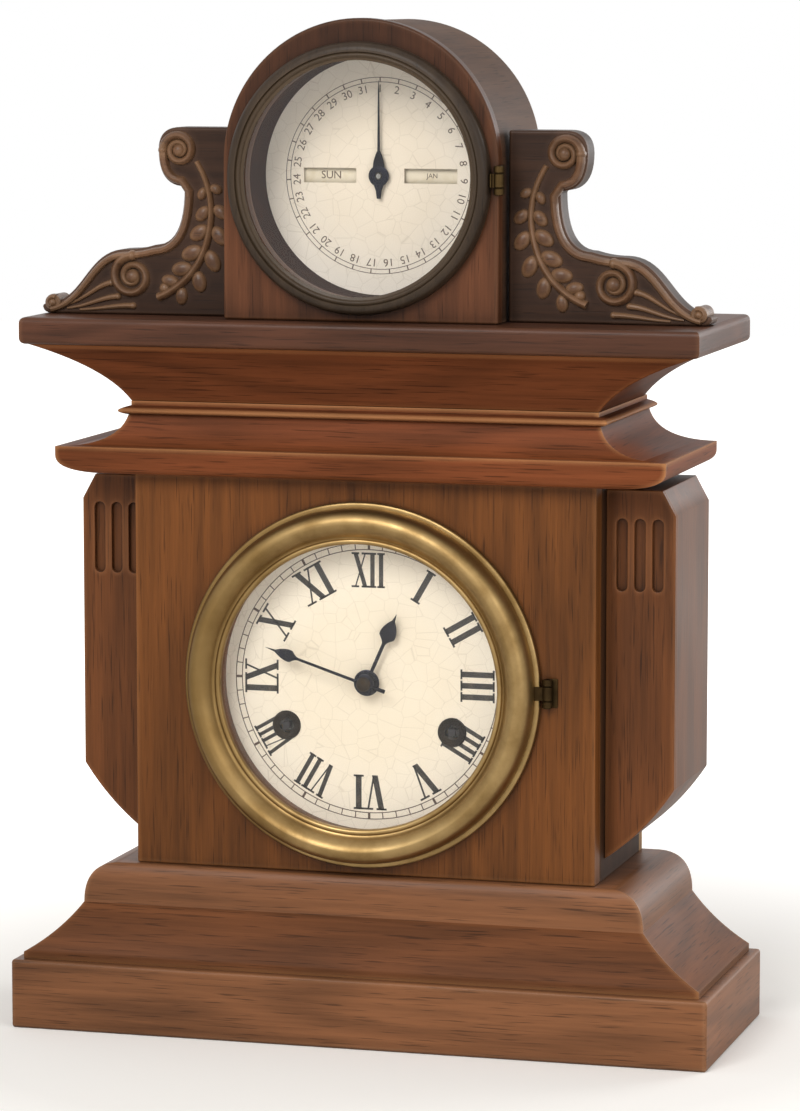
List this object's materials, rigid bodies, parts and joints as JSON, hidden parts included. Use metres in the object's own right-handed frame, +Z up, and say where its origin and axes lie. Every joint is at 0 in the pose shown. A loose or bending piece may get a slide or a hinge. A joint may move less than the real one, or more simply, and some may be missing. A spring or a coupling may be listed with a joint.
{
  "type": "calendar shelf clock",
  "caption": "Wooden shelf clock with a glazed time dial in a bracketed case and a glazed calendar dial in an arched hood, with its movement, strike and pendulum.",
  "frame": {"origin": "middle of the plinth's underside, on the table", "axes": "+Z up, +X to the clock's right as a viewer sees it, +Y from front to back (the dials face -Y)"},
  "size_m": [0.318, 0.116, 0.45],
  "materials": {
    "walnut": "varnished",
    "dark_walnut": "varnished, darkened",
    "pine": "stained, flat",
    "brass": "aged",
    "steel": "plain",
    "blued_steel": "blued",
    "iron": "black",
    "dial_paint": "ivory, satin",
    "roller_paper": "matt",
    "glass": "clear"
  },
  "bodies": {
    "case": {"plinth_frame": "walnut", "base_moulding": "walnut", "front_panel": "walnut", "left_side": "walnut", "right_side": "walnut", "left_wing": "walnut", "right_wing": "walnut", "eave_moulding": "walnut", "crown_moulding": "walnut", "top_slab": "walnut", "hood_front": "dark_walnut", "hood_shell": "walnut", "hood_back": "pine", "left_scroll": "dark_walnut", "right_scroll": "dark_walnut", "bezel_hinge": "brass", "time_dial": "dial_paint", "left_winding_collet": "brass", "right_winding_collet": "brass", "front_plate": "brass", "back_plate": "brass", "time_mainspring": "steel", "strike_mainspring": "steel", "gong": "iron", "calendar_ring_hinge": "brass", "calendar_dial": "dial_paint", "calendar_frame": "iron", "back_board": "pine", "back_door_hinge": "brass"},
    "time_door": {"time_bezel": "brass", "time_glass": "glass"},
    "calendar_door": {"calendar_ring": "dark_walnut", "calendar_ring_knuckle": "brass", "calendar_glass": "glass"},
    "rear_door": {"back_door": "pine", "back_door_knuckle": "brass"},
    "turn_button": {"door_turn_button": "brass"},
    "minute_work": {"centre_arbor": "brass", "minute_hand": "blued_steel", "hand_nut": "brass"},
    "hour_work": {"hour_wheel": "brass", "hour_hand": "blued_steel"},
    "minute_wheel_body": {"minute_wheel": "brass"},
    "second_wheel_body": {"second_wheel": "brass"},
    "time_great_wheel_body": {"time_great_wheel": "brass"},
    "third_wheel_body": {"third_wheel": "brass"},
    "escape_wheel_body": {"escape_wheel": "brass"},
    "strike_great_wheel_body": {"strike_great_wheel": "brass"},
    "strike_second_wheel_body": {"strike_second_wheel": "brass"},
    "strike_fly_body": {"strike_fly": "brass"},
    "pendulum": {"pendulum_rod": "steel", "pendulum_bob": "brass"},
    "verge_body": {"verge": "steel"},
    "rating_nut_body": {"rating_nut": "brass"},
    "hammer": {"strike_hammer": "steel"},
    "date_work": {"date_arbor": "brass", "date_hand": "blued_steel"},
    "weekday_roller_body": {"weekday_roller": "roller_paper"},
    "month_roller_body": {"month_roller": "roller_paper"},
    "lift_wire": {"calendar_lift_wire": "steel"}
  },
  "joints": [
    {"name": "bezel_open", "type": "hinge", "parent": "case", "child": "time_door", "pos_m": [0.0842, -0.043, 0.1594], "axis": [0, 0, 1], "range_deg": [0, 110]},
    {"name": "calendar_ring_open", "type": "hinge", "parent": "case", "child": "calendar_door", "pos_m": [0.0628, -0.0465, 0.381], "axis": [0, 0, 1], "range_deg": [0, 100]},
    {"name": "back_door_open", "type": "hinge", "parent": "case", "child": "rear_door", "pos_m": [0.072, 0.055, 0.165], "axis": [0, 0, -1], "range_deg": [0, 110]},
    {"name": "turn_button_turn", "type": "hinge", "parent": "case", "child": "turn_button", "pos_m": [-0.082, 0.0538, 0.165], "axis": [0, 1, 0], "range_deg": [0, 90]},
    {"name": "minute_hand_turn", "type": "hinge", "parent": "case", "child": "minute_work", "pos_m": [0, 0, 0.1594], "axis": [0, 1, 0], "continuous": true},
    {"name": "hour_hand_turn", "type": "hinge", "parent": "case", "child": "hour_work", "pos_m": [0, 0, 0.1594], "axis": [0, 1, 0], "continuous": true},
    {"name": "minute_wheel_turn", "type": "hinge", "parent": "case", "child": "minute_wheel_body", "pos_m": [0, 0, 0.1434], "axis": [0, 1, 0], "continuous": true},
    {"name": "second_wheel_turn", "type": "hinge", "parent": "case", "child": "second_wheel_body", "pos_m": [0.02054, 0, 0.16377], "axis": [0, 1, 0], "continuous": true},
    {"name": "time_great_wheel_turn", "type": "hinge", "parent": "case", "child": "time_great_wheel_body", "pos_m": [0.038, 0, 0.1384], "axis": [0, 1, 0], "continuous": true},
    {"name": "third_wheel_turn", "type": "hinge", "parent": "case", "child": "third_wheel_body", "pos_m": [-0.006, 0, 0.17713], "axis": [0, 1, 0], "continuous": true},
    {"name": "escape_wheel_turn", "type": "hinge", "parent": "case", "child": "escape_wheel_body", "pos_m": [0, 0, 0.1925], "axis": [0, 1, 0], "continuous": true},
    {"name": "strike_great_wheel_turn", "type": "hinge", "parent": "case", "child": "strike_great_wheel_body", "pos_m": [-0.038, 0, 0.1384], "axis": [0, 1, 0], "continuous": true},
    {"name": "strike_second_wheel_turn", "type": "hinge", "parent": "case", "child": "strike_second_wheel_body", "pos_m": [-0.02054, 0, 0.16377], "axis": [0, 1, 0], "continuous": true},
    {"name": "strike_fly_turn", "type": "hinge", "parent": "case", "child": "strike_fly_body", "pos_m": [-0.03134, 0, 0.17664], "axis": [0, 1, 0], "continuous": true},
    {"name": "pendulum_swing", "type": "hinge", "parent": "case", "child": "pendulum", "pos_m": [0, 0.028, 0.212], "axis": [0, 1, 0], "range_deg": [-3, 3]},
    {"name": "verge_rock", "type": "hinge", "parent": "case", "child": "verge_body", "pos_m": [0, 0, 0.212], "axis": [0, 1, 0], "range_deg": [-3, 3]},
    {"name": "rating_nut_turn", "type": "hinge", "parent": "pendulum", "child": "rating_nut_body", "pos_m": [0, 0.028, 0.0833], "axis": [0, 0, 1], "continuous": true},
    {"name": "hammer_lift", "type": "hinge", "parent": "case", "child": "hammer", "pos_m": [-0.05, 0.039, 0.1514], "axis": [0, 1, 0], "range_deg": [0, 15], "stiffness_Nm_per_rad": 0.02},
    {"name": "date_hand_turn", "type": "hinge", "parent": "case", "child": "date_work", "pos_m": [0, 0, 0.381], "axis": [0, 1, 0], "continuous": true},
    {"name": "weekday_roller_turn", "type": "hinge", "parent": "case", "child": "weekday_roller_body", "pos_m": [-0.023, -0.001, 0.381], "axis": [1, 0, 0], "continuous": true},
    {"name": "month_roller_turn", "type": "hinge", "parent": "case", "child": "month_roller_body", "pos_m": [0.023, -0.001, 0.381], "axis": [1, 0, 0], "continuous": true},
    {"name": "lift_wire_slide", "type": "slide", "parent": "case", "child": "lift_wire", "axis": [0, 0, 1], "range_m": [0, 0.005]}
  ],
  "couplings": [
    {"joint": "hour_hand_turn", "follows": "minute_hand_turn", "ratio": 0.083333},
    {"joint": "minute_wheel_turn", "follows": "minute_hand_turn", "ratio": -0.33333},
    {"joint": "second_wheel_turn", "follows": "minute_hand_turn", "ratio": -0.16667},
    {"joint": "time_great_wheel_turn", "follows": "minute_hand_turn", "ratio": 0.027778},
    {"joint": "third_wheel_turn", "follows": "minute_hand_turn", "ratio": -12},
    {"joint": "escape_wheel_turn", "follows": "minute_hand_turn", "ratio": 120},
    {"joint": "strike_second_wheel_turn", "follows": "strike_great_wheel_turn", "ratio": -6},
    {"joint": "strike_fly_turn", "follows": "strike_great_wheel_turn", "ratio": 30},
    {"joint": "verge_rock", "follows": "pendulum_swing", "ratio": 1},
    {"joint": "weekday_roller_turn", "follows": "date_hand_turn", "ratio": 4.4286},
    {"joint": "month_roller_turn", "follows": "date_hand_turn", "ratio": 0.083333}
  ]
}
